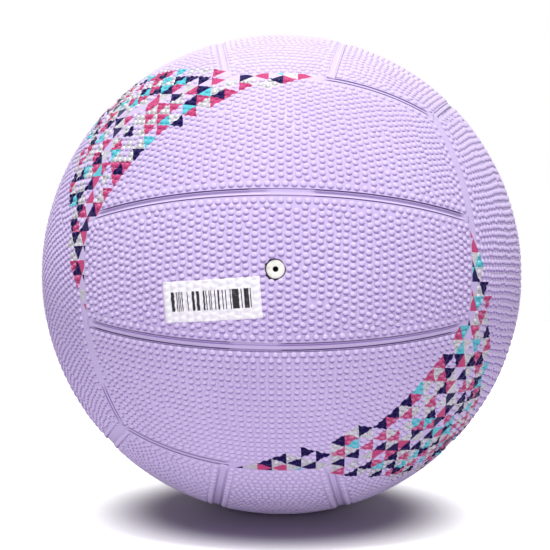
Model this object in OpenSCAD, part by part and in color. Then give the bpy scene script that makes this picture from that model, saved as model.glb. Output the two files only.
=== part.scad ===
// Netball of size 5: eighteen rubber cover panels over a ribbed lining, a thread winding,
// a bladder and a needle valve. Millimetres, origin at the ball's centre, +Z up, valve at -Y.

/* [Ball] */
// Diameter over the smooth land of the cover, without its pebbles
ball_d = 222; // [206:1:230]
// Half angle of each middle panel, in degrees about the ball's centre
middle_half_deg = 15; // [11:1:19]

/* [Cover panels] */
// Thickness of a cover panel
panel_t = 1.1; // [0.9:0.1:1.8]

/* [Seams] */
// Width of the flat rib between two panels
rib_w = 2.3; // [1.6:0.1:3.6]
// Width of the fine groove on each side of a rib
groove_w = 0.45; // [0.3:0.05:0.9]
// How far a rib's top lies below the panels
rib_drop = 0.3; // [0.1:0.05:0.6]

/* [Layers under the cover] */
// Glue line between two layers
bond_gap = 0.05; // [0.02:0.01:0.1]
// Thickness of the rubber lining that carries the ribs
lining_t = 0.5; // [0.4:0.1:1]
// Thickness of the nylon thread winding
winding_t = 0.35; // [0.25:0.05:0.8]
// Wall of the bladder
bladder_t = 0.6; // [0.5:0.1:1.2]

/* [Valve plug] */
// Diameter of the plug's round head, which shows in the cover
head_d = 7.2; // [6:0.1:9]
// Gap between the head and the panel around it
head_gap = 0.3; // [0.1:0.05:0.6]
// How far the head's crown lies below the cover
head_drop = 0.2; // [0:0.05:0.4]
// Depth of the head's seat in the housing
head_seat = 0.9; // [0.6:0.1:1.6]
// Diameter of the plug's stem
stem_d = 5; // [4:0.1:5.6]
// Length of the stem under the head
stem_l = 11; // [9:0.5:14]
// Diameter of the bore that takes the inflating needle
needle_d = 2; // [1.6:0.1:2.6]
// Depth of the bore from the head's crown
needle_l = 9; // [6:0.5:10]

/* [Valve housing] */
// Clearance of the plug in its housing
plug_clear = 0.05; // [0.02:0.01:0.15]
// Diameter of the housing's neck through the bladder, winding and lining
neck_d = 11.5; // [10.5:0.1:14]
// Diameter of the housing's boss inside the bladder
boss_d = 11.5; // [9:0.1:14]
// Diameter of the flange that is bonded to the bladder
flange_d = 30; // [20:1:40]
// Thickness of that flange
flange_t = 1.2; // [0.8:0.1:2]
// Rubber left under the plug's end
boss_end_t = 2.4; // [1.5:0.1:4]
// Diameter of the air way through that end
air_way_d = 1.2; // [0.8:0.1:2]

/* [Label] */
// Width of the blank stick-on label
label_w = 38; // [20:1:44]
// Height of the label
label_h = 15.5; // [8:0.5:20]
// Thickness of the label
label_t = 0.15; // [0.1:0.01:0.3]
// Angle from the valve to the label's middle, sideways to the left
label_left_deg = 12.6; // [11:0.2:16]
// Angle from the valve to the label's middle, downwards
label_down_deg = 6; // [0:0.5:8]
// Tilt of the label, right end up
label_tilt_deg = 3.5; // [-5:0.5:8]

/* [Hidden] */
$fn = 180;

// Radii of the layers, from the cover inwards
cover_r = ball_d / 2;
rib_r = cover_r - rib_drop;
panel_floor_r = cover_r - panel_t;
lining_r = panel_floor_r - bond_gap;
lining_floor_r = lining_r - lining_t;
winding_r = lining_floor_r - bond_gap;
winding_floor_r = winding_r - winding_t;
bladder_r = winding_floor_r - bond_gap;
bladder_floor_r = bladder_r - bladder_t;

// Half of the channel between two panels
channel_half_w = rib_w / 2 + groove_w;
// Every face of the ball reaches to 45 degrees from its centre
face_half_deg = 45;
outer_half_deg = (face_half_deg - middle_half_deg) / 2;
outer_tilt_deg = (face_half_deg + middle_half_deg) / 2;

// Distances along the valve's axis, from the ball's centre
head_floor = lining_r - head_seat;
stem_end = head_floor - stem_l;
plug_end = stem_end - plug_clear;
boss_end = plug_end - boss_end_t;
flange_r = bladder_floor_r - bond_gap;
flange_floor_r = flange_r - flange_t;
crown_r = cover_r - head_drop;
label_floor_r = cover_r + bond_gap;

// Angles that carry a panel from the +X face to each face, with its length along that face's strips
front_turn_deg = [0, 0, -90];
back_turn_deg = [0, 0, 90];
right_turn_deg = [90, 0, 0];
left_turn_deg = [90, 0, 180];
top_turn_deg = [0, -90, 0];
bottom_turn_deg = [0, 90, 0];
face_turns_deg = [
    front_turn_deg, back_turn_deg, right_turn_deg,
    left_turn_deg, top_turn_deg, bottom_turn_deg
];

// Reach of a tool that cuts right through the ball
reach = 2 * ball_d;
// Extra length of a tool past the face that it cuts
overrun = 1;

function strip_half(strip) = strip == 0 ? middle_half_deg : outer_half_deg;
function strip_tilt(strip) = strip * outer_tilt_deg;

// A wedge along +X with its edge along Z, its sides drawn in by inset from planes through the centre
module wedge(half_deg, inset) {
    apex = inset / sin(half_deg);
    linear_extrude(height = reach, center = true)
        polygon([
            [apex, 0],
            [apex + reach * cos(half_deg), -reach * sin(half_deg)],
            [apex + reach * cos(half_deg), reach * sin(half_deg)]
        ]);
}

// The space of one strip on the +X face, with its long sides along Y
module strip_space(strip, inset) {
    intersection() {
        rotate([0, -strip_tilt(strip), 0])
            rotate([90, 0, 0])
                wedge(strip_half(strip), inset);
        wedge(face_half_deg, inset);
    }
}

// A round shell whose own joint line lies away from +X
module shell(outside_r, inside_r) {
    rotate([0, 0, 180])
        difference() {
            sphere(outside_r);
            sphere(inside_r);
        }
}

module cover_panel(turn_deg, strip) {
    rotate(turn_deg)
        intersection() {
            shell(cover_r, panel_floor_r);
            strip_space(strip, channel_half_w);
        }
}

// The recess that a panel leaves in the lining, between the ribs
module panel_recess(turn_deg, strip) {
    rotate(turn_deg)
        intersection() {
            shell(cover_r + overrun, lining_r);
            strip_space(strip, rib_w / 2);
        }
}

// A round tool along the valve's axis, from one distance to a farther one
module valve_cylinder(d, from, to) {
    rotate([90, 0, 0])
        translate([0, 0, from])
            cylinder(h = to - from, d = d);
}

module panel_front_upper() color("plum") cover_panel(front_turn_deg, 1);
module panel_front_middle() color("plum") {
    difference() {
        cover_panel(front_turn_deg, 0);
        valve_cylinder(head_d + 2 * head_gap, head_floor, cover_r + overrun);
    }
}
module panel_front_lower() color("plum") cover_panel(front_turn_deg, -1);

module panel_back_upper() color("plum") cover_panel(back_turn_deg, 1);
module panel_back_middle() color("plum") cover_panel(back_turn_deg, 0);
module panel_back_lower() color("plum") cover_panel(back_turn_deg, -1);

module panel_top_left() color("plum") cover_panel(top_turn_deg, 1);
module panel_top_middle() color("plum") cover_panel(top_turn_deg, 0);
module panel_top_right() color("plum") cover_panel(top_turn_deg, -1);

module panel_bottom_left() color("plum") cover_panel(bottom_turn_deg, -1);
module panel_bottom_middle() color("plum") cover_panel(bottom_turn_deg, 0);
module panel_bottom_right() color("plum") cover_panel(bottom_turn_deg, 1);

module panel_left_front() color("plum") cover_panel(left_turn_deg, -1);
module panel_left_middle() color("plum") cover_panel(left_turn_deg, 0);
module panel_left_back() color("plum") cover_panel(left_turn_deg, 1);

module panel_right_front() color("plum") cover_panel(right_turn_deg, 1);
module panel_right_middle() color("plum") cover_panel(right_turn_deg, 0);
module panel_right_back() color("plum") cover_panel(right_turn_deg, -1);

// Rubber lining: one shell, with a rib standing in every channel between the panels
module seam_lining() color("thistle") {
    difference() {
        sphere(rib_r);
        sphere(lining_floor_r);
        for (turn_deg = face_turns_deg)
            for (strip = [-1, 0, 1])
                panel_recess(turn_deg, strip);
        valve_cylinder(neck_d + 2 * plug_clear, boss_end, cover_r);
    }
}

// Layers of nylon thread wound round the bladder
module thread_winding() color("gainsboro") {
    difference() {
        sphere(winding_r);
        sphere(winding_floor_r);
        valve_cylinder(neck_d + 2 * plug_clear, boss_end, cover_r);
    }
}

module bladder() color("dimgray") {
    difference() {
        sphere(bladder_r);
        sphere(bladder_floor_r);
        valve_cylinder(neck_d + 2 * plug_clear, boss_end, cover_r);
    }
}

// Housing: a neck through the layers, a flange bonded inside the bladder, and a boss for the plug
module valve_housing() color("gray") {
    difference() {
        union() {
            intersection() {
                sphere(lining_r);
                valve_cylinder(neck_d, flange_floor_r, cover_r);
            }
            intersection() {
                shell(flange_r, flange_floor_r);
                valve_cylinder(flange_d, boss_end, cover_r);
            }
            intersection() {
                sphere(flange_r);
                valve_cylinder(boss_d, boss_end, cover_r);
            }
        }
        valve_cylinder(head_d + 2 * plug_clear, head_floor - plug_clear, cover_r);
        valve_cylinder(stem_d + 2 * plug_clear, plug_end, cover_r);
        valve_cylinder(air_way_d, boss_end - overrun, cover_r);
    }
}

// Plug: a round head flush in the cover, a stem, and a blind bore for the needle
module valve_plug() color("ivory") {
    difference() {
        union() {
            intersection() {
                sphere(crown_r);
                valve_cylinder(head_d, head_floor, cover_r);
            }
            valve_cylinder(stem_d, stem_end, panel_floor_r);
        }
        valve_cylinder(needle_d, crown_r - needle_l, cover_r);
    }
}

// Blank label stuck on the middle front panel, to the left of the valve
module label() color("white") {
    intersection() {
        shell(label_floor_r + label_t, label_floor_r);
        rotate([label_down_deg, 0, -label_left_deg])
            rotate([0, -label_tilt_deg, 0])
                translate([-label_w / 2, -cover_r - label_h, -label_h / 2])
                    cube([label_w, 2 * label_h, label_h]);
    }
}

panel_front_upper();
panel_front_middle();
panel_front_lower();
panel_back_upper();
panel_back_middle();
panel_back_lower();
panel_top_left();
panel_top_middle();
panel_top_right();
panel_bottom_left();
panel_bottom_middle();
panel_bottom_right();
panel_left_front();
panel_left_middle();
panel_left_back();
panel_right_front();
panel_right_middle();
panel_right_back();
seam_lining();
thread_winding();
bladder();
valve_housing();
valve_plug();
label();
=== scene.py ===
import math

import bmesh
import bpy
import numpy as np
from mathutils import Euler, Matrix, Vector


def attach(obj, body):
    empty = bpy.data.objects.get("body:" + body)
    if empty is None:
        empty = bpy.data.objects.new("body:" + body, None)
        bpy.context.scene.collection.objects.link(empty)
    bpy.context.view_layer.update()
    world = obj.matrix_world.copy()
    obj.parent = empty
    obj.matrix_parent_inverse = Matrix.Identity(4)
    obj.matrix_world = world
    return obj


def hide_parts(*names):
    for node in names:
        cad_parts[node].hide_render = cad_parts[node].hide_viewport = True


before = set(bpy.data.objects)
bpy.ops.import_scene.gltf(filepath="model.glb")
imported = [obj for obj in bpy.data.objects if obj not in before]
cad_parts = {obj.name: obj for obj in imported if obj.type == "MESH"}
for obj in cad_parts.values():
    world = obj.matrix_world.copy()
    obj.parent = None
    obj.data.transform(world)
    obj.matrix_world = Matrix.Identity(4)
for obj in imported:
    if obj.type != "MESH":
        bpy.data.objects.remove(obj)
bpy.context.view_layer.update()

# metres, the same values as the solids have
ball = {
    "radius": 0.111,            # smooth skin between the pebbles
    "floorRadius": 0.1099,      # underside of the rubber panels
    "channelHalf": 0.0016,      # from a seam's middle to the panel's edge
    "stripHalf": math.radians(15),
    "facePitch": math.radians(30),
}

# a panel is shaped on the +X face with its length along Y, then turned to its own face
faceTurns = {
    "front": (0, 0, -90), "back": (0, 0, 90), "right": (90, 0, 0),
    "left": (90, 0, 180), "top": (0, -90, 0), "bottom": (0, 90, 0),
}
faceStrips = {
    "front": {"upper": 1, "middle": 0, "lower": -1},
    "back": {"upper": 1, "middle": 0, "lower": -1},
    "top": {"left": 1, "middle": 0, "right": -1},
    "bottom": {"left": -1, "middle": 0, "right": 1},
    "left": {"front": -1, "middle": 0, "back": 1},
    "right": {"front": 1, "middle": 0, "back": -1},
}
starCorners = [(-1, -1, 1), (1, -1, -1), (1, 1, 1), (-1, 1, -1)]


def faceMatrix(face):
    turn = [math.radians(angle) for angle in faceTurns[face]]
    return Euler(turn, "XYZ").to_matrix()


def cornerMatrix(corner):
    # turns a corner of the cube to +Z and one seam that leaves it to +X
    up = Vector(corner).normalized()
    along = Vector((-corner[0], corner[1], corner[2])).normalized()
    along = (along - up * along.dot(up)).normalized()
    return Matrix((along, up.cross(along), up))


def meshFrom(name, bm):
    mesh = bpy.data.meshes.new(name)
    bm.to_mesh(mesh)
    bm.free()
    return mesh


def linkedObject(name, data):
    thing = bpy.data.objects.new(name, data)
    bpy.context.collection.objects.link(thing)
    return thing


def finishPiece(name, bm, material, slot, *nodes, recalc=True):
    if recalc:
        bmesh.ops.recalc_face_normals(bm, faces=bm.faces)
    mesh = meshFrom(name, bm)
    mesh.shade_smooth()
    mesh.materials.append(material)
    piece = linkedObject(name, mesh)
    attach(piece, "root")
    if nodes:
        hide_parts(*nodes)
    return piece


def spinRound(bm, geom, steps):
    bmesh.ops.spin(bm, geom=geom, cent=(0, 0, 0), axis=(0, 0, 1), angle=math.tau, steps=steps,
                   use_merge=True, use_duplicate=False)
    bmesh.ops.remove_doubles(bm, verts=bm.verts, dist=1e-6)


def spunShape(profile, steps):
    # a profile in mm, from the axis and up it, turned round Z
    bm = bmesh.new()
    verts = [bm.verts.new((x / 1000, 0, z / 1000)) for x, z in profile]
    edges = [bm.edges.new(pair) for pair in zip(verts, verts[1:])]
    spinRound(bm, verts + edges, steps)
    return bm


# node helpers
def joined(tree, socket, value):
    if isinstance(value, bpy.types.NodeSocket):
        tree.links.new(value, socket)
    elif value is not None:
        socket.default_value = value


def maths(tree, operation, *values):
    step = tree.nodes.new("ShaderNodeMath")
    step.operation = operation
    for socket, value in zip(step.inputs, values):
        joined(tree, socket, value)
    return step.outputs[0]


def times(tree, first, second):
    return maths(tree, "MULTIPLY", first, second)


def plus(tree, first, second):
    return maths(tree, "ADD", first, second)


def minus(tree, first, second):
    return maths(tree, "SUBTRACT", first, second)


def vectors(tree, operation, first, second=None):
    step = tree.nodes.new("ShaderNodeVectorMath")
    step.operation = operation
    joined(tree, step.inputs[0], first)
    joined(tree, step.inputs[1], second)
    return step.outputs["Value" if operation in ("DOT_PRODUCT", "LENGTH") else "Vector"]


def separated(tree, value):
    step = tree.nodes.new("ShaderNodeSeparateXYZ")
    joined(tree, step.inputs[0], value)
    return step.outputs


def combined(tree, x, y, z):
    step = tree.nodes.new("ShaderNodeCombineXYZ")
    for socket, value in zip(step.inputs, (x, y, z)):
        joined(tree, socket, value)
    return step.outputs[0]


def ranged(tree, value, fromLow, fromHigh, toLow=0.0, toHigh=1.0, smooth=True):
    step = tree.nodes.new("ShaderNodeMapRange")
    if smooth:
        step.interpolation_type = "SMOOTHSTEP"
    for name, entry in (("Value", value), ("From Min", fromLow), ("From Max", fromHigh),
                        ("To Min", toLow), ("To Max", toHigh)):
        joined(tree, step.inputs[name], entry)
    return step.outputs["Result"]


def mixed(tree, factor, first, second, blend="MIX"):
    step = tree.nodes.new("ShaderNodeMix")
    step.data_type = "RGBA"
    step.blend_type = blend
    joined(tree, step.inputs["Factor"], factor)
    joined(tree, step.inputs["A"], first)
    joined(tree, step.inputs["B"], second)
    return step.outputs["Result"]


def noised(tree, place, scale, detail=2.0, roughness=0.5):
    step = tree.nodes.new("ShaderNodeTexNoise")
    joined(tree, step.inputs["Vector"], place)
    step.inputs["Scale"].default_value = scale
    step.inputs["Detail"].default_value = detail
    step.inputs["Roughness"].default_value = roughness
    return step.outputs["Fac"]


def ramped(tree, value, stops, interpolation="LINEAR"):
    step = tree.nodes.new("ShaderNodeValToRGB")
    ramp = step.color_ramp
    ramp.interpolation = interpolation
    while len(ramp.elements) < len(stops):
        ramp.elements.new(1.0)
    for element, (position, colour) in zip(ramp.elements, stops):
        element.position = position
        element.color = colour
    joined(tree, step.inputs["Fac"], value)
    return step.outputs["Color"]


def bumped(tree, height, strength, distance):
    step = tree.nodes.new("ShaderNodeBump")
    step.inputs["Strength"].default_value = strength
    step.inputs["Distance"].default_value = distance
    joined(tree, step.inputs["Height"], height)
    return step.outputs["Normal"]


def dressed(tree, shader, colour, roughness, relief, strength, depth):
    joined(tree, shader.inputs["Base Color"], colour)
    joined(tree, shader.inputs["Roughness"], roughness)
    joined(tree, shader.inputs["Normal"], bumped(tree, relief, strength, depth))


def tint(red, green, blue):
    # colours are written as they look on screen, 0 to 255
    def linear(level):
        level = level / 255
        return level / 12.92 if level <= 0.04045 else ((level + 0.055) / 1.055) ** 2.4
    return (linear(red), linear(green), linear(blue), 1.0)


def grey(level):
    return (level, level, level, 1.0)


def newMaterial(name, **constants):
    material = bpy.data.materials.new(name)
    material.use_nodes = True
    tree = material.node_tree
    shader = tree.nodes["Principled BSDF"]
    for socket, value in constants.items():
        shader.inputs[socket.replace("_", " ")].default_value = value
    place = tree.nodes.new("ShaderNodeTexCoord").outputs["Object"]
    return material, tree, shader, place


noiseSpan = (0.3, 0.7)          # where most of a noise's values lie


# printed triangles
mosaic = {
    "rowHeight": 5.85,          # mm, height of one triangle
    # the print's outline round a corner of the cube: degrees of turn, degrees from the corner
    "reachAngles": [0, 9, 17.4, 24, 32, 41, 53, 67.5, 79, 91, 101, 109, 116, 120],
    "reach": [43.5, 31, 25.1, 22.3, 19.7, 17.7, 16.4, 16.0, 16.4, 17.9, 20.1, 22.1, 25.2, 26.5],
    "reachTop": 50.0,           # degrees that the curve's full height stands for
    "inks": ["rose", "silver", "bare", "violet", "aqua"],
    "from": [0.0, 0.29, 0.47, 0.66, 0.89],      # where each ink's share of the triangles starts
    "instead": 3,               # a clash of neighbours takes the next of this many inks
    "rose": tint(190, 66, 118),
    "silver": tint(214, 213, 219),
    "bare": tint(203, 181, 228),
    "violet": tint(22, 3, 74),
    "aqua": tint(86, 192, 206),
    "seeds": [3.0, 11.0, 23.0, 31.0],
    "inkShadeShare": 0.42,         # of the rubber's own painted shade and painted highlight
    "highlightShare": 0.55,
    "flakeScale": 2200.0,       # glitter in the silver
    "flakeLevels": (0.62, 1.12),
    "flakeShare": 0.9,
    "metallic": 0.3,
    "wornAt": (0.22, 0.34),
    "wornTo": 0.75,
    "gloss": 0.08,              # smoother than the rubber by this much
    "relief": 0.35,
}


def triangleGroup():
    group = bpy.data.node_groups.new("triangleMosaic", "ShaderNodeTree")
    for name, side, kind in (("Place", "INPUT", "Vector"), ("Seed", "INPUT", "Float"),
                             ("Printed", "OUTPUT", "Float"), ("Tone", "OUTPUT", "Float")):
        group.interface.new_socket(name, in_out=side, socket_type="NodeSocket" + kind)
    entry = group.nodes.new("NodeGroupInput")
    leave = group.nodes.new("NodeGroupOutput")
    radius = ball["radius"] * 1000
    row = mosaic["rowHeight"]

    def below(value, limit):
        return maths(group, "LESS_THAN", value, limit)

    def larger(first, second):
        return maths(group, "MAXIMUM", first, second)

    def clockwise(x, y):
        bearing = times(group, maths(group, "ARCTAN2", y, x), -180 / math.pi)
        return maths(group, "FLOORED_MODULO", bearing, 120.0)

    # unroll the ball round the corner: angle from the corner becomes distance
    x, y, z = separated(group, vectors(group, "NORMALIZE", entry.outputs["Place"]))
    angle = maths(group, "ARCCOSINE", z)
    flat = larger(maths(group, "SINE", angle), 0.0001)
    stretch = maths(group, "DIVIDE", times(group, angle, radius), flat)
    east = times(group, x, stretch)
    north = times(group, y, stretch)

    # three families of lines give the triangle's cell and its middle
    cells = []
    for arm in (0, 120, 240):
        lane = plus(group, times(group, east, math.cos(math.radians(arm)) / row),
                    times(group, north, math.sin(math.radians(arm)) / row))
        cells.append(maths(group, "FLOOR", lane))
    total = plus(group, plus(group, cells[0], cells[1]), cells[2])
    third = maths(group, "DIVIDE", total, -3.0)
    middles = [plus(group, cell, third) for cell in cells]
    scale = row * 2 / 3
    others = times(group, plus(group, middles[1], middles[2]), 0.5)
    middleX = times(group, minus(group, middles[0], others), scale)
    middleY = times(group, minus(group, middles[1], middles[2]), scale * math.sqrt(3) / 2)

    # which side of an arm's straight edge the point is on, the seam's channel included
    turn = clockwise(east, north)
    short = maths(group, "RADIANS", minus(group, 120.0, turn))
    aside = times(group, times(group, maths(group, "SINE", short), flat), radius)
    inChannel = below(aside, ball["channelHalf"] * 1000)
    inChannel = times(group, inChannel, maths(group, "GREATER_THAN", turn, 60.0))
    armSide = larger(inChannel, below(turn, 60.0))

    # the middle's own turn, kept on the same side of that edge
    middleTurn = clockwise(middleX, middleY)
    near = times(group, middleTurn, below(middleTurn, 90.0))
    far = larger(middleTurn, times(group, below(middleTurn, 30.0), 120.0))
    kept = plus(group, times(group, near, armSide), times(group, far, minus(group, 1.0, armSide)))

    reach = group.nodes.new("ShaderNodeFloatCurve")
    points = reach.mapping.curves[0].points
    pairs = list(zip(mosaic["reachAngles"], mosaic["reach"]))
    while len(points) < len(pairs):
        points.new(0.5, 0.5)
    for point, (at, degrees) in zip(points, pairs):
        point.location = (at / 120, degrees / mosaic["reachTop"])
        point.handle_type = "VECTOR"
    reach.mapping.update()
    joined(group, reach.inputs["Value"], maths(group, "DIVIDE", kept, 120.0))
    limit = times(group, reach.outputs[0], math.radians(mosaic["reachTop"]) * radius)
    middleFar = vectors(group, "LENGTH", combined(group, middleX, middleY, 0.0))
    printed = below(middleFar, limit)

    # an ink is tossed for each cell, and its number comes out of the ramp as a grey
    steps = 8.0
    stops = [(at, grey(number / steps)) for number, at in enumerate(mosaic["from"])]

    def tossed(x, y, z):
        toss = group.nodes.new("ShaderNodeTexWhiteNoise")
        toss.noise_dimensions = "4D"
        joined(group, toss.inputs["Vector"], combined(group, x, y, z))
        joined(group, toss.inputs["W"], entry.outputs["Seed"])
        picked = ramped(group, toss.outputs["Value"], stops, "CONSTANT")
        return maths(group, "ROUND", times(group, picked, steps))

    # a triangle that points down avoids its neighbours' inks
    ink = tossed(*cells)
    pointsDown = below(total, -1.5)
    around = [tossed(*[plus(group, cell, 1.0) if number == lane else cell
                       for number, cell in enumerate(cells)]) for lane in range(3)]
    for attempt in range(2):
        same = [maths(group, "COMPARE", ink, other, 0.3) for other in around]
        clash = times(group, larger(larger(same[0], same[1]), same[2]), pointsDown)
        following = maths(group, "FLOORED_MODULO", plus(group, ink, 1.0), mosaic["instead"])
        ink = plus(group, times(group, following, clash), times(group, ink, minus(group, 1.0, clash)))
    tone = maths(group, "DIVIDE", plus(group, ink, 0.5), len(mosaic["inks"]))
    joined(group, leave.inputs["Printed"], printed)
    joined(group, leave.inputs["Tone"], times(group, tone, printed))
    return group


# materials
rubber = {
    "lilac": tint(203, 186, 228),
    "crown": tint(211, 195, 233),
    # painted shade: flank darkens the pebbles' slopes, crevice the seams' hollows, deep their grooves and
    # walls; crevice is also the mottling's colour
    "flankShade": tint(148, 122, 178),
    "crevice": tint(150, 124, 184),
    "deep": tint(92, 60, 142),
    "dirtAndShade": tint(132, 106, 168),   # painted shade, on slopes that look down
    "paintedHighlight": tint(226, 210, 243),   # painted highlight, on slopes that look up
    "litTop": tint(234, 222, 242),   # painted highlight: the top paler, where the lamps light it most
    # the crevice, deep and wall zones place the seams' painted shade
    # from and to, in mm from the ball's middle
    "crownZone": (111.0, 111.4),
    "creviceZone": (110.24, 110.48),
    "deepZone": (110.1, 110.3),
    "wallZone": (110.84, 110.95),
    # how squarely a slope looks outwards: 1 lies flat on the ball
    "flankFacing": (0.5, 0.93),
    "wallFacing": (0.35, 0.7),
    # how far a slope looks up or down, with more of it low on the ball and less high up
    "slopeGain": (1.55, 0.45),
    "shadeSlope": (-0.44, -0.06),
    "highlightSlope": (0.08, 0.50),
    # height on the ball, from -1 to 1
    "shadeHeight": (-0.3, 0.5),
    "litTopHeight": (0.35, 0.95),
    # how much of each painted shade and painted highlight shows
    "flankShadeShare": 0.25,
    "wallShare": 0.9,
    "shadeShares": (0.95, 0.50),    # low on the ball, high up
    "highlightShare": 0.50,
    "litTopShare": 0.36,
    "cloudShare": 0.10,
    "roughness": 0.40,
    "roughSpread": (-0.05, 0.06),
    "relief": 0.00006,
    "specular": 0.07,
    "sheen": 0.05,              # the whitish bloom where the rubber turns away
    "sheenRoughness": 0.5,
}


def makeCover():
    material, tree, shader, place = newMaterial("lilacRubber", Specular_IOR_Level=rubber["specular"],
                                                Sheen_Weight=rubber["sheen"],
                                                Sheen_Roughness=rubber["sheenRoughness"])
    radius = times(tree, vectors(tree, "LENGTH", place), 1000.0)
    facing = tree.nodes.new("ShaderNodeTexCoord").outputs["Normal"]
    group = triangleGroup()
    printed, tone = None, None
    for corner, seed in zip(starCorners, mosaic["seeds"]):
        turned = tree.nodes.new("ShaderNodeMapping")
        turned.inputs["Rotation"].default_value = cornerMatrix(corner).to_euler("XYZ")
        joined(tree, turned.inputs["Vector"], place)
        star = tree.nodes.new("ShaderNodeGroup")
        star.node_tree = group
        joined(tree, star.inputs["Place"], turned.outputs["Vector"])
        star.inputs["Seed"].default_value = seed
        found, shade = star.outputs["Printed"], star.outputs["Tone"]
        printed = found if printed is None else plus(tree, printed, found)
        tone = shade if tone is None else plus(tree, tone, shade)

    # the rubber itself: paler on the pebbles' crowns, with painted shade darkening their flanks
    skin = mixed(tree, ranged(tree, radius, *rubber["crownZone"]), rubber["lilac"], rubber["crown"])
    upright = vectors(tree, "NORMALIZE", place)
    outward = vectors(tree, "DOT_PRODUCT", facing, upright)
    flankShade = ranged(tree, outward, *rubber["flankFacing"], rubber["flankShadeShare"], 0.0)
    skin = mixed(tree, flankShade, skin, rubber["flankShade"])

    # painted shade under the pebbles, a painted highlight over them, a painted highlight on the top
    height = separated(tree, upright)[2]
    slope = minus(tree, separated(tree, facing)[2], times(tree, height, outward))
    slope = times(tree, slope, ranged(tree, height, -1.0, 1.0, *rubber["slopeGain"], False))
    dirtAndShade = times(tree, ranged(tree, height, *rubber["shadeHeight"], *rubber["shadeShares"]),
                  ranged(tree, slope, *rubber["shadeSlope"], 1.0, 0.0))
    skin = mixed(tree, dirtAndShade, skin, rubber["dirtAndShade"])
    paintedHighlight = ranged(tree, slope, *rubber["highlightSlope"], 0.0, rubber["highlightShare"])
    skin = mixed(tree, paintedHighlight, skin, rubber["paintedHighlight"])
    litTop = ranged(tree, height, *rubber["litTopHeight"], 0.0, rubber["litTopShare"])
    skin = mixed(tree, litTop, skin, rubber["litTop"])
    cloud = ranged(tree, noised(tree, place, 28.0, 3.0), *noiseSpan, 0.0, rubber["cloudShare"])
    skin = mixed(tree, cloud, skin, rubber["crevice"])

    # painted shade, darker deeper in the seams and on the walls beside them
    ground = mixed(tree, ranged(tree, radius, *rubber["creviceZone"], 1.0, 0.0), skin, rubber["crevice"])
    ground = mixed(tree, ranged(tree, radius, *rubber["deepZone"], 1.0, 0.0), ground, rubber["deep"])
    wall = times(tree, ranged(tree, outward, *rubber["wallFacing"], rubber["wallShare"], 0.0),
                 ranged(tree, radius, *rubber["wallZone"], 1.0, 0.0))
    ground = mixed(tree, wall, ground, rubber["deep"])

    # the ramps' steps, one to an ink
    inks = [(number / len(mosaic["inks"]), name) for number, name in enumerate(mosaic["inks"])]

    def onlyFor(*names):
        stops = [(at, grey(float(name in names))) for at, name in inks]
        return times(tree, ramped(tree, tone, stops, "CONSTANT"), printed)

    ink = ramped(tree, tone, [(at, mosaic[name]) for at, name in inks], "CONSTANT")
    hasInk, isSilver = onlyFor("rose", "silver", "violet", "aqua"), onlyFor("silver")

    # glitter flakes in the silver, painted shade and painted highlight on the inks, and a little wear
    flakes = tree.nodes.new("ShaderNodeTexVoronoi")
    joined(tree, flakes.inputs["Vector"], place)
    flakes.inputs["Scale"].default_value = mosaic["flakeScale"]
    spark = ranged(tree, flakes.outputs["Color"], 0.2, 0.9, *mosaic["flakeLevels"], False)
    sparkle = mixed(tree, times(tree, isSilver, mosaic["flakeShare"]), grey(1.0), spark)
    ink = mixed(tree, 1.0, ink, sparkle, "MULTIPLY")
    ink = mixed(tree, times(tree, dirtAndShade, mosaic["inkShadeShare"]), ink, mosaic["violet"])
    lit = times(tree, onlyFor("rose", "silver", "aqua"), mosaic["highlightShare"])
    ink = mixed(tree, times(tree, paintedHighlight, lit), ink, rubber["paintedHighlight"])
    worn = ranged(tree, noised(tree, place, 900.0, 3.0), *mosaic["wornAt"], mosaic["wornTo"], 1.0)
    colour = mixed(tree, times(tree, hasInk, worn), ground, ink)

    grain = noised(tree, place, 1500.0, 3.0, 0.6)
    rough = [rubber["roughness"] + spread for spread in rubber["roughSpread"]]
    rough = ranged(tree, grain, *noiseSpan, *rough, False)
    rough = minus(tree, rough, times(tree, hasInk, mosaic["gloss"]))
    joined(tree, shader.inputs["Metallic"], times(tree, isSilver, mosaic["metallic"]))
    relief = plus(tree, grain, times(tree, hasInk, mosaic["relief"]))
    dressed(tree, shader, colour, rough, relief, 0.25, rubber["relief"])
    return material


# the valve's head
valveSkin = {
    "pale": tint(228, 227, 219),
    "soiled": tint(176, 172, 158),
    # painted shade: the hole's inside near-black
    "hole": tint(28, 26, 28),
    # painted shade: a dark ragged ring on the head's edge, where the gap to the cover lies in shadow
    "rim": tint(104, 84, 112),
    "holeEdge": (0.00100, 0.00106),     # from and to, in metres from the axis
    "rimEdge": (0.00362, 0.00382),
    "rimShare": 0.85,
    "ragged": 0.0006,
}


def makeValveRubber():
    material, tree, shader, place = newMaterial("valveRubber", Specular_IOR_Level=0.4)
    dirtAndShade = ranged(tree, noised(tree, place, 420.0, 4.0, 0.6), 0.52, 0.7)
    colour = mixed(tree, times(tree, dirtAndShade, 0.5), valveSkin["pale"], valveSkin["soiled"])
    flat = vectors(tree, "LENGTH", vectors(tree, "MULTIPLY", place, (1.0, 0.0, 1.0)))
    # painted shade: the hole's inside darkened to near-black
    colour = mixed(tree, ranged(tree, flat, *valveSkin["holeEdge"], 1.0, 0.0), colour, valveSkin["hole"])
    # painted shade: a dark ragged ring round the head's edge
    ragged = times(tree, noised(tree, place, 520.0, 3.0, 0.6), valveSkin["ragged"])
    edge = ranged(tree, plus(tree, flat, ragged), *valveSkin["rimEdge"], 0.0, valveSkin["rimShare"])
    rough = ranged(tree, dirtAndShade, 0, 1, 0.42, 0.62, False)
    dressed(tree, shader, mixed(tree, edge, colour, valveSkin["rim"]), rough,
            noised(tree, place, 900.0, 3.0), 0.2, 0.0001)
    return material


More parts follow.
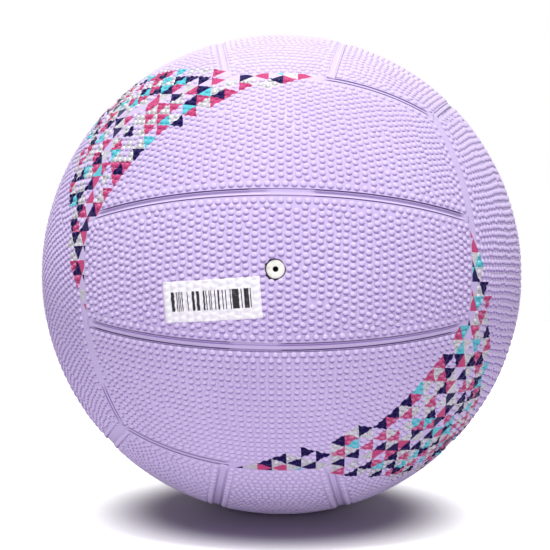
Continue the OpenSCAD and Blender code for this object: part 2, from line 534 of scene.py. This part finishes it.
stickOn = {
    "width": 0.038,
    "height": 0.0155,
    "left": math.radians(12.6),
    "down": math.radians(6),
    "tilt": math.radians(3.5),
    "corner": 0.004,            # rounding, as a share of the sheet
    "lift": 0.0001,             # its face over the rubber
    "thickness": 0.00008,
    "clear": 0.00006,           # least gap over the rubber once it is smoothed
    "pressed": 0.85,            # share of a pebble's height that shows through
    "slack": 0.4,               # how much each of two smoothings evens out
    "cell": 0.00042,
    "paper": tint(236, 234, 240),
    "fibre": tint(232, 228, 236),
    "ink": tint(22, 19, 26),
    "barsAcross": (0.085, 0.905),
    "barsUp": (0.27, 0.74),
    "modules": 84.0,
    "barSeed": 7.0,
}


def makePaper():
    material, tree, shader, place = newMaterial("labelPaper", Specular_IOR_Level=0.45)
    sheet = tree.nodes.new("ShaderNodeUVMap")
    sheet.uv_map = "paper"
    across, up = separated(tree, sheet.outputs["UV"])[:2]
    module = ranged(tree, across, *stickOn["barsAcross"], 0.0, stickOn["modules"], False)
    toss = tree.nodes.new("ShaderNodeTexWhiteNoise")
    toss.noise_dimensions = "1D"
    joined(tree, toss.inputs["W"], plus(tree, maths(tree, "FLOOR", module), stickOn["barSeed"]))
    bar = maths(tree, "GREATER_THAN", toss.outputs["Value"], 0.5)
    for value, (low, high) in ((across, stickOn["barsAcross"]), (up, stickOn["barsUp"])):
        bar = times(tree, bar, maths(tree, "GREATER_THAN", value, low))
        bar = times(tree, bar, maths(tree, "LESS_THAN", value, high))
    fibre = noised(tree, place, 2600.0, 4.0, 0.7)
    paper = mixed(tree, ranged(tree, fibre, *noiseSpan, 0.0, 0.25), stickOn["paper"], stickOn["fibre"])
    rough = ranged(tree, fibre, *noiseSpan, 0.38, 0.5, False)
    dressed(tree, shader, mixed(tree, bar, paper, stickOn["ink"]), rough, fibre, 0.15, 0.00004)
    return material


# the hidden parts: two tones each
innerTones = {
    "thread": (tint(226, 220, 204), tint(176, 166, 146)),
    "bladder": (tint(46, 44, 48), tint(34, 32, 36)),
    "housing": (tint(58, 54, 60), tint(42, 40, 44)),
}


def makeThread():
    # wound nylon thread in rubber
    material, tree, shader, place = newMaterial("woundThread", Roughness=0.7)
    wave = tree.nodes.new("ShaderNodeTexWave")
    joined(tree, wave.inputs["Vector"], place)
    wave.inputs["Scale"].default_value = 420.0
    wave.inputs["Distortion"].default_value = 6.0
    strands = wave.outputs["Fac"]
    dressed(tree, shader, mixed(tree, strands, *innerTones["thread"]), None, strands, 0.6, 0.0002)
    return material


def makeButyl(name, tones):
    material, tree, shader, place = newMaterial(name, Specular_IOR_Level=0.4)
    cloud = noised(tree, place, 60.0, 4.0)
    rough = ranged(tree, cloud, *noiseSpan, 0.45, 0.6, False)
    dressed(tree, shader, mixed(tree, cloud, *tones), rough, noised(tree, place, 700.0), 0.2, 0.0001)
    return material


coverRubber = makeCover()
valveRubber = makeValveRubber()
labelPaper = makePaper()
woundThread = makeThread()
bladderRubber = makeButyl("bladderRubber", innerTones["bladder"])
housingRubber = makeButyl("housingRubber", innerTones["housing"])
print("materials made")


# seams
seam = {
    # half a cross-section each: mm from the seam's middle, mm from the ball's middle
    # between the strips of a face: a hollow band with a fine groove at each side
    "strip": [(1.70, 109.60), (1.68, 110.26), (1.44, 110.22), (1.16, 110.26), (1.09, 110.84),
              (1.01, 110.98), (0.88, 110.97), (0.58, 110.70), (0.28, 110.46), (0.0, 110.42)],
    # between two faces: a level band with a pair of fine grooves
    "edge": [(1.70, 109.60), (1.68, 110.92), (1.56, 110.96), (1.48, 110.88), (1.42, 110.00),
             (0.58, 110.00), (0.52, 110.88), (0.44, 110.96), (0.24, 110.98), (0.0, 110.98)],
    "flush": 0.11100,           # radius where the hollow and the grooves are filled
    "movable": 0.1099,
    "plainAbove": -0.045,       # the upright seams are filled from this height up
    "liningOuter": 0.10985,
    "liningInner": 0.10935,
    "liningSteps": (72, 96),    # down the arc and round
    "neckRadius": 0.00582,
    "stepAngle": math.radians(0.7),
    "stripShort": 0.0012,       # a strip's seam ends this far from the face's edge
    "stripFlush": 0.0034,
    "cornerFlush": 0.0030,
    "runOn": (-1, -1, -1),      # two seams of the front face run on round this corner
    "runOnFlush": 0.0010,
    "plain": {((-1, -1, -1), (-1, 1, -1)): 1.0, ((1, -1, 1), (1, 1, 1)): 0.55},     # share filled
    "faceFill": {"top": 0.62, "bottom": 0.7},
    "fade": 0.0012,
    "printLap": 2.2,            # degrees outside a print by which the seam is filled
    "armHalf": 0.002,           # a print's long arms lie this close to a seam's middle
    # shallower spots near the valve: height as a share of the radius, from and to along X, fill
    "valveZones": [(0.26, -0.0105, -0.0028, 0.30), (0.26, -0.0028, 0.0140, 0.72),
                   (-0.26, -0.0165, 0.0026, 0.60)],
    "zoneHalf": 0.02,
}


starFrames = [cornerMatrix(corner) for corner in starCorners]


def starDepth(point):
    # how far, in degrees, a point lies inside the nearest print's outline
    best = -180.0
    for toStar in starFrames:
        local = toStar @ point.normalized()
        angle = math.degrees(math.acos(max(-1, min(1, local.z))))
        if angle > 60:
            continue
        turn = math.degrees(-math.atan2(local.y, local.x)) % 120
        short = math.radians(min(turn, 120 - turn))
        aside = point.length * math.hypot(local.x, local.y) * math.sin(short)
        limit = mosaic["reach"][0]
        if aside >= seam["armHalf"]:
            limit = np.interp(turn, mosaic["reachAngles"], mosaic["reach"])
        best = max(best, limit - angle)
    return best


def seamFill(point, toEnds, flush, upright, least):
    # 0 is the full depth, 1 is filled: under the prints, at the seams' ends, beside the valve
    fill = min(1.0, max(least, starDepth(point) + seam["printLap"]))
    for fromEnd, short in zip(toEnds, flush):
        fill = max(fill, 1 - max(0.0, fromEnd - short) / seam["fade"])
    if upright:
        fill = max(fill, 1 - max(0.0, seam["plainAbove"] - point.z) / (3 * seam["fade"]))
    if point.y < 0:
        for height, low, high, amount in seam["valveZones"]:
            level = abs(point.z / point.length - height) < seam["zoneHalf"]
            if level and low < point.x < high:
                fill = max(fill, amount)
    return min(fill, 1.0)


def sweptBar(outline, start, normal, angle):
    # a closed outline, in mm aside and mm from the ball's middle, swept along a great circle
    start, normal = start.normalized(), normal.normalized()
    bar = bmesh.new()
    verts = [bar.verts.new(normal * (x / 1000) + start * (y / 1000)) for x, y in outline]
    edges = [bar.edges.new(pair) for pair in zip(verts, verts[1:] + verts[:1])]
    steps = math.ceil(angle / seam["stepAngle"])
    swept = bmesh.ops.spin(bar, geom=verts + edges, cent=(0, 0, 0), axis=normal, angle=angle,
                           steps=steps, use_merge=False, use_duplicate=False)
    last = [item for item in swept["geom_last"] if isinstance(item, bmesh.types.BMEdge)]
    bmesh.ops.edgeloop_fill(bar, edges=edges)
    bmesh.ops.edgeloop_fill(bar, edges=last)
    bmesh.ops.recalc_face_normals(bar, faces=bar.faces)
    return bar


def pourInto(bm, part):
    mesh = meshFrom("part", part)
    bm.from_mesh(mesh)
    bpy.data.meshes.remove(mesh)


def addBand(bm, half, start, normal, angle, flush, upright=False, least=0.0):
    band = sweptBar(half + [(-x, y) for x, y in reversed(half[:-1])], start, normal, angle)
    start, normal = start.normalized(), normal.normalized()
    ahead = normal.cross(start)
    for vert in band.verts:
        far = vert.co.length
        if far > seam["movable"]:
            turn = math.atan2(vert.co.dot(ahead), vert.co.dot(start))
            fill = seamFill(vert.co, (turn * far, (angle - turn) * far), flush, upright, least)
            vert.co *= (far + (seam["flush"] - far) * fill) / far
    pourInto(bm, band)


def buildSeams():
    bm = bmesh.new()
    # the thin lining under the panels, open where the valve's neck passes
    down, around = seam["liningSteps"]
    first = math.asin(seam["neckRadius"] / seam["liningOuter"])
    arc = [first + (math.pi - first) * step / down for step in range(down + 1)]
    outer, inner = [[bm.verts.new((math.sin(angle) * radius, 0, math.cos(angle) * radius)) for angle in arc]
                    for radius in (seam["liningOuter"], seam["liningInner"])]
    outer[-1].co.x = inner[-1].co.x = 0
    edges = [bm.edges.new(pair) for row in (outer, inner) for pair in zip(row, row[1:])]
    edges.append(bm.edges.new((outer[0], inner[0])))
    spinRound(bm, outer + inner + edges, around)
    bmesh.ops.rotate(bm, verts=bm.verts, cent=(0, 0, 0), matrix=Matrix.Rotation(math.pi / 2, 3, "X"))
    # a seam along each edge of the cube, between two corners that differ in one place
    corners = [(x, y, z) for x in (-1, 1) for y in (-1, 1) for z in (-1, 1)]
    for corner in corners:
        for other in corners:
            if corner < other and sum(a != b for a, b in zip(corner, other)) == 1:
                flush = [seam["runOnFlush"] if end == seam["runOn"] else seam["cornerFlush"]
                         for end in (corner, other)]
                start, end = Vector(corner), Vector(other)
                addBand(bm, seam["edge"], start, start.cross(end), start.angle(end), flush,
                        upright=corner[2] != other[2], least=seam["plain"].get((corner, other), 0.0))
    # and two across each face, between its strips
    along = Vector((0, 1, 0))
    for face in faceTurns:
        turn = faceMatrix(face)
        for side in (-1, 1):
            swing = side * ball["stripHalf"]
            reach = math.atan(math.cos(swing)) - seam["stripShort"] / ball["radius"]
            middle = Vector((math.cos(swing), 0, math.sin(swing)))
            start = middle * math.cos(reach) - along * math.sin(reach)
            addBand(bm, seam["strip"], turn @ start, turn @ middle.cross(along), 2 * reach,
                    [seam["stripFlush"]] * 2, least=seam["faceFill"].get(face, 0.0))
    return finishPiece("seam_bands", bm, coverRubber, "lining", "seam_lining")


seamBands = buildSeams()
print("seams:", len(seamBands.data.polygons), "faces")


# panels
panel = {
    "across": 14,
    "along": 44,
    "support": 0.0005,          # narrow ring of faces inside the rim
    "lip": 0.00024,             # raised edge along the seams between a face's strips
    "lipEnd": 0.0034,
    "rimRound": 0.00018,
    "rimSteps": 3,
    "valveHole": 0.00388,
    "holeCut": 0.0075,          # faces this near the valve make room for the hole's ring
    "holeReach": 0.014,         # and the ring is joined to what is left within this
    "holeAside": (-0.00016, -0.00014),
    "holeRagged": 0.00022,
    "holeWaves": 9,
    "holeSteps": 48,
    # bites out of the hole's edge: degrees round it, metres deep, degrees wide
    "bites": [(-106, 0.0015, 15), (-140, 0.0004, 16), (150, 0.0006, 8), (96, 0.0003, 9)],
    "line": [(-0.15, 110.9), (0.0, 111.12), (0.15, 110.9)],     # the parting line's section, mm
    "lineShort": 0.0019,
    "lineFromValve": 0.0045,
}
pebble = {
    "profile": [(0.0, 0.56), (0.50, 0.51), (0.90, 0.36), (1.20, 0.14), (1.36, -0.08), (0.0, -0.08)],
    "sides": 10,
    "margin": 0.0017,           # from the panel's edge to the first row's middle
    "rimPitch": 0.00335,        # along the rows beside the seams
    "rimSize": 1.02,
    "columns": 0.00304,         # between the columns that run across a strip
    "bulge": 1.02,              # a row's arc over its two chords
    "pitch": 0.00257,           # along a column
    "stagger": {1: 0.5, 0: 0.35, -1: 0.0},      # share of the pitch, by strip
    "faceStagger": {"bottom": 0.5},
    "lean": {"left": 0.26},     # share of the panel's length by which a face's rows run askew
    "wander": 0.00055,
    "waves": [(5, 0.5), (2.3, -0.31)],          # of the wander, across a column and on to the next
    "calm": 8,                  # how soon it sets in beside the panel's middle line
    "farthest": 0.99,
    "closest": 0.00215,
    "reach": 0.00268,           # nearer than this they push each other apart
    "push": 0.4,
    "jitter": 0.00013,
    "gap": 0.0022,              # a hole wider than this gets one more pebble
    "spareGrid": [(0.97, 60), (0.985, 170)],    # where one may go: share and count, across and along
    "rounds": (5, 5, 3),
    "valveClear": 0.0051,
    "valveFirst": 0.8,          # share of it that the first rows keep
    "sizeSpread": 0.04,
    "heightSpread": 0.07,
}


def panelPoint(u, v, tilt, inset, radius):
    # u runs across the strip and v along it, both from -1 to 1
    u, v = np.asarray(u, float), np.asarray(v, float)
    along = np.zeros_like(u)
    for turn in range(6):
        swing = tilt + u * (ball["stripHalf"] - np.arcsin(inset / (radius * np.cos(along))))
        lean = np.cos(swing)
        reach = np.arccos(math.sqrt(2) * inset / (radius * np.sqrt(lean ** 2 + 1))) - np.arctan(1 / lean)
        along = v * reach
    return radius * np.stack([np.cos(along) * np.cos(swing), np.sin(along),
                              np.cos(along) * np.sin(swing)], axis=-1)


def pebbleSites(tilt, stagger, seed, hasValve, lean):
    rng = np.random.default_rng(seed)
    radius = ball["radius"]
    inset = ball["channelHalf"] + pebble["margin"]

    def place(u, v):
        return panelPoint(u, v, tilt, inset, radius)

    def rowLength(u):
        return math.dist(place(u, -1.0), place(u, 0.0)) + math.dist(place(u, 0.0), place(u, 1.0))

    rim = []
    for u in (-1.0, 1.0):
        count = round(rowLength(u) * pebble["bulge"] / pebble["rimPitch"])
        rim += [place(u, -1 + 2 * step / count) for step in range(count + 1)]
    for v in (-1.0, 1.0):
        count = round(math.dist(place(-1.0, v), place(1.0, v)) / pebble["rimPitch"])
        rim += [place(-1 + 2 * step / count, v) for step in range(1, count)]
    kept = np.empty((4000, 3))
    kept[:len(rim)] = rim
    total = len(rim)
    # an even count keeps the panel's middle line free
    columns = 2 * round(rowLength(0.0) * pebble["bulge"] / pebble["columns"] / 2)
    waves = rng.uniform(0, math.tau, 2)
    for column in range(columns):
        v = -1 + 2 * (column + 0.5) / columns
        width = math.dist(place(-1.0, v), place(0.0, v)) + math.dist(place(0.0, v), place(1.0, v))
        count = round(width / pebble["pitch"])
        shift = stagger * (column % 2)
        u = -1 + 2 * (np.arange(1, count) + shift) / count
        sway = sum(np.sin(across * u + onward * column + start)
                   for (across, onward), start in zip(pebble["waves"], waves))
        sway *= pebble["wander"] / rowLength(0.0) * (1 - u * u) * min(1.0, pebble["calm"] * abs(v))
        sway = np.clip(v + sway + lean * u, -pebble["farthest"], pebble["farthest"]) - v
        spots = place(u, v + sway) + rng.normal(0, pebble["jitter"], (count - 1, 3))
        for spot in spots:
            if np.min(np.sum((kept[:total] - spot) ** 2, axis=1)) > pebble["closest"] ** 2:
                kept[total] = spot
                total += 1
    sites = kept[:total].copy()
    centre = np.array([radius, 0, 0])
    if hasValve:
        sites = sites[np.linalg.norm(sites - centre, axis=1) > pebble["valveClear"] * pebble["valveFirst"]]
    isRim = np.arange(len(sites)) < len(rim)
    spread = np.meshgrid(*[np.linspace(-far, far, count) for far, count in pebble["spareGrid"]])
    spare = place(spread[0].ravel(), spread[1].ravel())
    if hasValve:
        spare = spare[np.linalg.norm(spare - centre, axis=1) > pebble["valveClear"]]
    for number, rounds in enumerate(pebble["rounds"]):
        for turn in range(rounds):
            gap = sites[:, None] - sites[None]
            dist = np.sqrt(np.einsum("ijk,ijk->ij", gap, gap)) + np.eye(len(sites))
            push = np.clip(pebble["reach"] - dist, 0, None) / dist * pebble["push"]
            move = np.einsum("ijk,ij->ik", gap, push)
            if hasValve:
                away = sites - centre
                far = np.linalg.norm(away, axis=1)
                short = np.clip(pebble["valveClear"] - far, 0, None)
                move += away / far[:, None] * short[:, None]
            move[isRim] = 0
            sites = sites + move
            sites *= radius / np.linalg.norm(sites, axis=1)[:, None]
        if number < len(pebble["rounds"]) - 1:
            room = np.full(len(spare), 1.0)
            for site in sites:
                room = np.minimum(room, np.sum((spare - site) ** 2, axis=1))
            added = []
            while room.max() > pebble["gap"] ** 2:
                added.append(spare[room.argmax()])
                room = np.minimum(room, np.sum((spare - added[-1]) ** 2, axis=1))
            sites = np.vstack([sites] + added)
            isRim = np.arange(len(sites)) < len(rim)
    return sites, isRim, rng


def domeTemplate():
    bm = spunShape(pebble["profile"], pebble["sides"])
    bmesh.ops.recalc_face_normals(bm, faces=bm.faces)
    return meshFrom("dome", bm)


def pebbleMesh(sites, isRim, rng):
    # copies of one dome from an Array modifier, each then set on its own site
    holder = linkedObject("domes", domeTemplate())
    shape = np.array([vert.co for vert in holder.data.vertices])
    array = holder.modifiers.new("copies", "ARRAY")
    array.count = len(sites)
    array.use_relative_offset = False
    evaluated = holder.evaluated_get(bpy.context.evaluated_depsgraph_get())
    mesh = bpy.data.meshes.new_from_object(evaluated)
    bpy.data.objects.remove(holder)
    normal = sites / np.linalg.norm(sites, axis=1)[:, None]
    aside = np.cross(normal, rng.normal(size=sites.shape))
    aside /= np.linalg.norm(aside, axis=1)[:, None]
    other = np.cross(normal, aside)
    wide = 1 + rng.uniform(-1, 1, len(sites)) * pebble["sizeSpread"]
    wide = np.where(isRim, wide * pebble["rimSize"], wide)
    tall = 1 + rng.uniform(-1, 1, len(sites)) * pebble["heightSpread"]
    places = (sites[:, None]
              + shape[None, :, 0, None] * (aside * wide[:, None])[:, None]
              + shape[None, :, 1, None] * (other * wide[:, None])[:, None]
              + shape[None, :, 2, None] * (normal * tall[:, None])[:, None])
    mesh.vertices.foreach_set("co", places.ravel())
    return mesh


def openValveHole(bm, radius, rng):
    centre, reach = Vector((radius, 0, 0)), panel["holeCut"]
    middle = [face for face in bm.faces if (face.calc_center_median() - centre).length < reach]
    bmesh.ops.delete(bm, geom=middle, context="FACES")
    ring = bmesh.ops.create_circle(bm, segments=panel["holeSteps"], radius=panel["valveHole"],
                                   cap_ends=False)["verts"]
    bmesh.ops.rotate(bm, verts=ring, cent=(0, 0, 0), matrix=Matrix.Rotation(math.pi / 2, 3, "Y"))
    waves = [(rng.uniform(0.4, 1), rng.uniform(0, math.tau)) for turn in range(panel["holeWaves"])]
    for vert in ring:
        angle = math.atan2(vert.co.z, vert.co.y)
        swell = sum(size * math.sin((turn + 1) * angle + start)
                    for turn, (size, start) in enumerate(waves)) / 3
        swell *= panel["holeRagged"]
        for at, depth, width in panel["bites"]:
            off = (math.degrees(angle) - at + 180) % 360 - 180
            swell += depth * math.exp(-(off / width) ** 2)
        vert.co *= 1 + swell / panel["valveHole"]
        vert.co += Vector((0, *panel["holeAside"]))
        vert.co.x = math.sqrt(radius ** 2 - vert.co.y ** 2 - vert.co.z ** 2)
    ringEdges = {edge for vert in ring for edge in vert.link_edges}
    around = [edge for edge in bm.edges if edge.is_boundary and edge not in ringEdges
              and all((vert.co - centre).length < panel["holeReach"] for vert in edge.verts)]
    bmesh.ops.bridge_loops(bm, edges=list(ringEdges) + around)


def addPartingLine(bm, tilt, hasValve):
    # the mould's fine raised line, across the three panels of the valve's face
    reach = ball["stripHalf"] - panel["lineShort"] / ball["radius"]
    around = panel["lineFromValve"] / ball["radius"]
    spans = [(tilt - reach, tilt + reach)]
    if hasValve:
        spans = [(tilt - reach, -around), (around, tilt + reach)]
    for low, high in spans:
        start = Vector((math.cos(low), 0, math.sin(low)))
        pourInto(bm, sweptBar(panel["line"], start, Vector((0, -1, 0)), high - low))


def raiseLip(bm, tilt):
    # only along a panel's lower edge, and only where a strip's seam runs
    for vert in bm.verts:
        swing = math.atan2(vert.co.z, vert.co.x)
        off = abs(abs(swing) - ball["stripHalf"]) * math.hypot(vert.co.x, vert.co.z)
        if vert.is_boundary and swing < tilt and off < ball["channelHalf"] * 1.2:
            toEnd = (vert.co.x - abs(vert.co.y)) / math.sqrt(2) - panel["lipEnd"]
            share = min(1.0, max(0.0, toEnd / panel["support"] / 3))
            vert.co *= 1 + panel["lip"] / ball["radius"] * share


def buildPanel(face, side, strip, seed):
    hasValve = face == "front" and strip == 0
    tilt = strip * ball["facePitch"]
    radius = ball["radius"]
    bm = bmesh.new()
    bmesh.ops.create_grid(bm, x_segments=panel["across"], y_segments=panel["along"], size=1)
    flat = np.array([vert.co for vert in bm.verts])
    spots = panelPoint(flat[:, 0], flat[:, 1], tilt, ball["channelHalf"], radius)
    for vert, spot in zip(bm.verts, spots):
        vert.co = spot
    # two support rings, the second inside the first
    for ring in range(2):
        inner = [patch for patch in bm.faces
                 if not ring or not any(edge.is_boundary for edge in patch.edges)]
        bmesh.ops.inset_region(bm, faces=inner, thickness=panel["support"], use_boundary=True,
                               use_even_offset=True)
    stagger = pebble["faceStagger"].get(face, pebble["stagger"][strip])
    sites, isRim, rng = pebbleSites(tilt, stagger, seed, hasValve, pebble["lean"].get(face, 0.0))
    if hasValve:
        openValveHole(bm, radius, rng)
    for vert in bm.verts:
        vert.co *= radius / vert.co.length
    raiseLip(bm, tilt)
    rim = [edge for edge in bm.edges if edge.is_boundary]
    grown = bmesh.ops.extrude_face_region(bm, geom=list(bm.faces), use_keep_orig=True)
    for item in grown["geom"]:
        if isinstance(item, bmesh.types.BMVert):
            item.co *= ball["floorRadius"] / radius
    bmesh.ops.bevel(bm, geom=rim, offset=panel["rimRound"], segments=panel["rimSteps"], profile=0.5,
                    affect="EDGES", material=-1)
    bmesh.ops.recalc_face_normals(bm, faces=bm.faces)
    if face == "front":
        addPartingLine(bm, tilt, hasValve)
    domes = pebbleMesh(sites, isRim, rng)
    bm.from_mesh(domes)
    bpy.data.meshes.remove(domes)
    turn = faceMatrix(face)
    bmesh.ops.transform(bm, matrix=turn.to_4x4(), verts=bm.verts)
    finishPiece(f"cover_{face}_{side}", bm, coverRubber, "cover", f"panel_{face}_{side}", recalc=False)
    return [turn @ Vector(site) for site in sites]


allSites = {}
for number, (face, strips) in enumerate(faceStrips.items()):
    for side, strip in strips.items():
        allSites[face, side] = buildPanel(face, side, strip, 100 + 10 * number + strip)
print("panels:", len(allSites), "with", sum(map(len, allSites.values())), "pebbles")


# valve
plug = {
    "profile": [                # mm from the axis, mm from the ball's middle
        (0.0, 101.8), (1.0, 101.8), (1.0, 110.45), (1.04, 110.62), (1.16, 110.72), (1.35, 110.76),
        (2.6, 110.78), (3.1, 110.76), (3.42, 110.66), (3.57, 110.48), (3.6, 110.25), (3.6, 109.92),
        (2.5, 109.92), (2.5, 100.2), (2.3, 99.9), (2.0, 99.8), (0.0, 99.8),
    ],
    "sides": 64,
}


def buildPlug():
    bm = spunShape(plug["profile"], plug["sides"])
    bmesh.ops.rotate(bm, verts=bm.verts, cent=(0, 0, 0), matrix=Matrix.Rotation(math.pi / 2, 3, "X"))
    finishPiece("valve_plug_head", bm, valveRubber, "plug", "valve_plug")


buildPlug()
print("valve plug made")


# label
def pressedHeight(spot, sites):
    # height of the nearest pebble under the paper, from the dome's own profile
    outs, heights = zip(*pebble["profile"][:-1])
    gap = min((spot - site).length for site in sites) * 1000
    return max(0.0, float(np.interp(gap, outs, heights))) / 1000


def buildLabel(sites):
    turn = (Euler((stickOn["down"], 0, -stickOn["left"])).to_matrix()
            @ Euler((0, -stickOn["tilt"], 0)).to_matrix())
    centre = turn @ Vector((0, -ball["radius"], 0))
    near = [site for site in sites if (site - centre).length < stickOn["width"]]
    bm = bmesh.new()
    across = round(stickOn["width"] / stickOn["cell"])
    up = round(stickOn["height"] / stickOn["cell"])
    bmesh.ops.create_grid(bm, x_segments=across, y_segments=up, size=0.5, calc_uvs=False)
    corners = [vert for vert in bm.verts if len(vert.link_edges) == 2]
    bmesh.ops.bevel(bm, geom=corners, offset=stickOn["corner"], segments=3, profile=0.5,
                    affect="VERTICES", material=-1)
    layer = bm.loops.layers.uv.new("paper")
    for face in bm.faces:
        for loop in face.loops:
            loop[layer].uv = (loop.vert.co.x + 0.5, loop.vert.co.y + 0.5)
    for vert in bm.verts:
        x, z = vert.co.x * stickOn["width"], vert.co.y * stickOn["height"]
        spot = turn @ Vector((x, -math.sqrt(ball["radius"] ** 2 - x * x - z * z), z))
        rise = stickOn["lift"] + pressedHeight(spot, near) * stickOn["pressed"]
        vert.co = spot * (1 + rise / ball["radius"])
    inner = [vert for vert in bm.verts if not vert.is_boundary]
    for attempt in range(2):
        bmesh.ops.smooth_vert(bm, verts=inner, factor=stickOn["slack"],
                              use_axis_x=True, use_axis_y=True, use_axis_z=True)
    for vert in bm.verts:
        spot = vert.co.normalized() * ball["radius"]
        least = ball["radius"] + pressedHeight(spot, near) + stickOn["clear"]
        vert.co *= max(1.0, least / vert.co.length)
    for face in bm.faces:
        face.normal_update()
        if face.normal.dot(centre) < 0:
            face.normal_flip()
    piece = finishPiece("blank_label", bm, labelPaper, "label", "label", recalc=False)
    wall = piece.modifiers.new("paper", "SOLIDIFY")
    wall.thickness = stickOn["thickness"]
    wall.offset = -1


buildLabel(allSites["front", "middle"])
print("label made")

# the hidden inner parts keep their solids
for name, material in (("thread_winding", woundThread), ("bladder", bladderRubber),
                       ("valve_housing", housingRubber)):
    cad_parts[name].data.materials.clear()
    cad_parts[name].data.materials.append(material)
print("inner parts dressed")


# stage
studio = {
    "floorHeight": -0.111,
    "floorSize": 3.0,
    "floor": tint(246, 246, 247),
    "fleck": tint(230, 230, 232),
    "floorBelow": tint(236, 232, 240),      # what the ball gets back from the floor
    "shade": (0.053, 0.104),    # where the floor that the camera sees goes from shaded to white
    "shaded": tint(158, 148, 166),
    "worldLevel": 0.30,
    "key": {"place": (0.0, -0.44, 1.03), "aim": (0, 0, 0), "size": 0.16, "power": 10.9},
    "over": {"place": (0.0, 0.1, 1.1), "aim": (0, 0, 0), "size": 0.6, "power": 0.9},
    "front": {"place": (0.0, -1.15, 0.2), "aim": (0, 0, 0), "size": 0.16, "power": 3.2},
}
photoCamera = {
    "place": (0.0096064, -0.4771352, -0.0080652),
    "turn": (90.9682, -0.2817, 1.1486),
    "lens": 65.34,
    "shift": (-0.0120, -0.0013),
}


def makeFloor():
    bm = bmesh.new()
    bmesh.ops.create_grid(bm, x_segments=1, y_segments=1, size=studio["floorSize"])
    bmesh.ops.translate(bm, verts=bm.verts, vec=(0, 0, studio["floorHeight"]))
    floor = linkedObject("floor", meshFrom("floor", bm))
    material, tree, shader, place = newMaterial("studioFloor", Specular_IOR_Level=0.1, Roughness=0.6,
                                                Emission_Color=grey(1.0))
    seen = tree.nodes.new("ShaderNodeLightPath").outputs["Is Camera Ray"]
    away = vectors(tree, "LENGTH", vectors(tree, "MULTIPLY", place, (1.0, 1.0, 0.0)))
    clear = ranged(tree, away, *studio["shade"])
    speck = ranged(tree, noised(tree, place, 300.0), *noiseSpan, 0.0, 0.02)
    shaded = mixed(tree, clear, studio["shaded"], mixed(tree, speck, studio["floor"], studio["fleck"]))
    joined(tree, shader.inputs["Base Color"], mixed(tree, seen, studio["floorBelow"], shaded))
    joined(tree, shader.inputs["Emission Strength"], times(tree, seen, clear))
    floor.data.materials.append(material)


def makeWorld():
    world = bpy.data.worlds.new("studio")
    bpy.context.scene.world = world
    world.use_nodes = True
    tree = world.node_tree
    background = tree.nodes["Background"]
    background.inputs["Color"].default_value = grey(1.0)
    rays = tree.nodes.new("ShaderNodeLightPath").outputs
    seen = maths(tree, "MAXIMUM", rays["Is Glossy Ray"], rays["Is Transmission Ray"])
    seen = maths(tree, "MAXIMUM", rays["Is Camera Ray"], seen)
    level = plus(tree, times(tree, seen, 1 - studio["worldLevel"]), studio["worldLevel"])
    joined(tree, background.inputs["Strength"], level)


def makeLamp(name):
    values = studio[name]
    light = bpy.data.lights.new(name + "Light", "AREA")
    light.shape = "SQUARE"
    light.size = values["size"]
    light.energy = values["power"]
    lamp = linkedObject(name + "Light", light)
    lamp.location = values["place"]
    towards = Vector(values["aim"]) - Vector(values["place"])
    lamp.rotation_euler = towards.to_track_quat("-Z", "Y").to_euler()


def makeCamera():
    data = bpy.data.cameras.new("camera")
    data.sensor_width = 36
    data.lens = photoCamera["lens"]
    data.shift_x, data.shift_y = photoCamera["shift"]
    data.clip_start = 0.01
    camera = linkedObject("camera", data)
    camera.location = photoCamera["place"]
    camera.rotation_euler = [math.radians(angle) for angle in photoCamera["turn"]]
    bpy.context.scene.camera = camera


makeFloor()
makeWorld()
for name in ("key", "over", "front"):
    makeLamp(name)
makeCamera()
bpy.context.scene.view_settings.view_transform = "Standard"
print("stage, lamps and camera made")
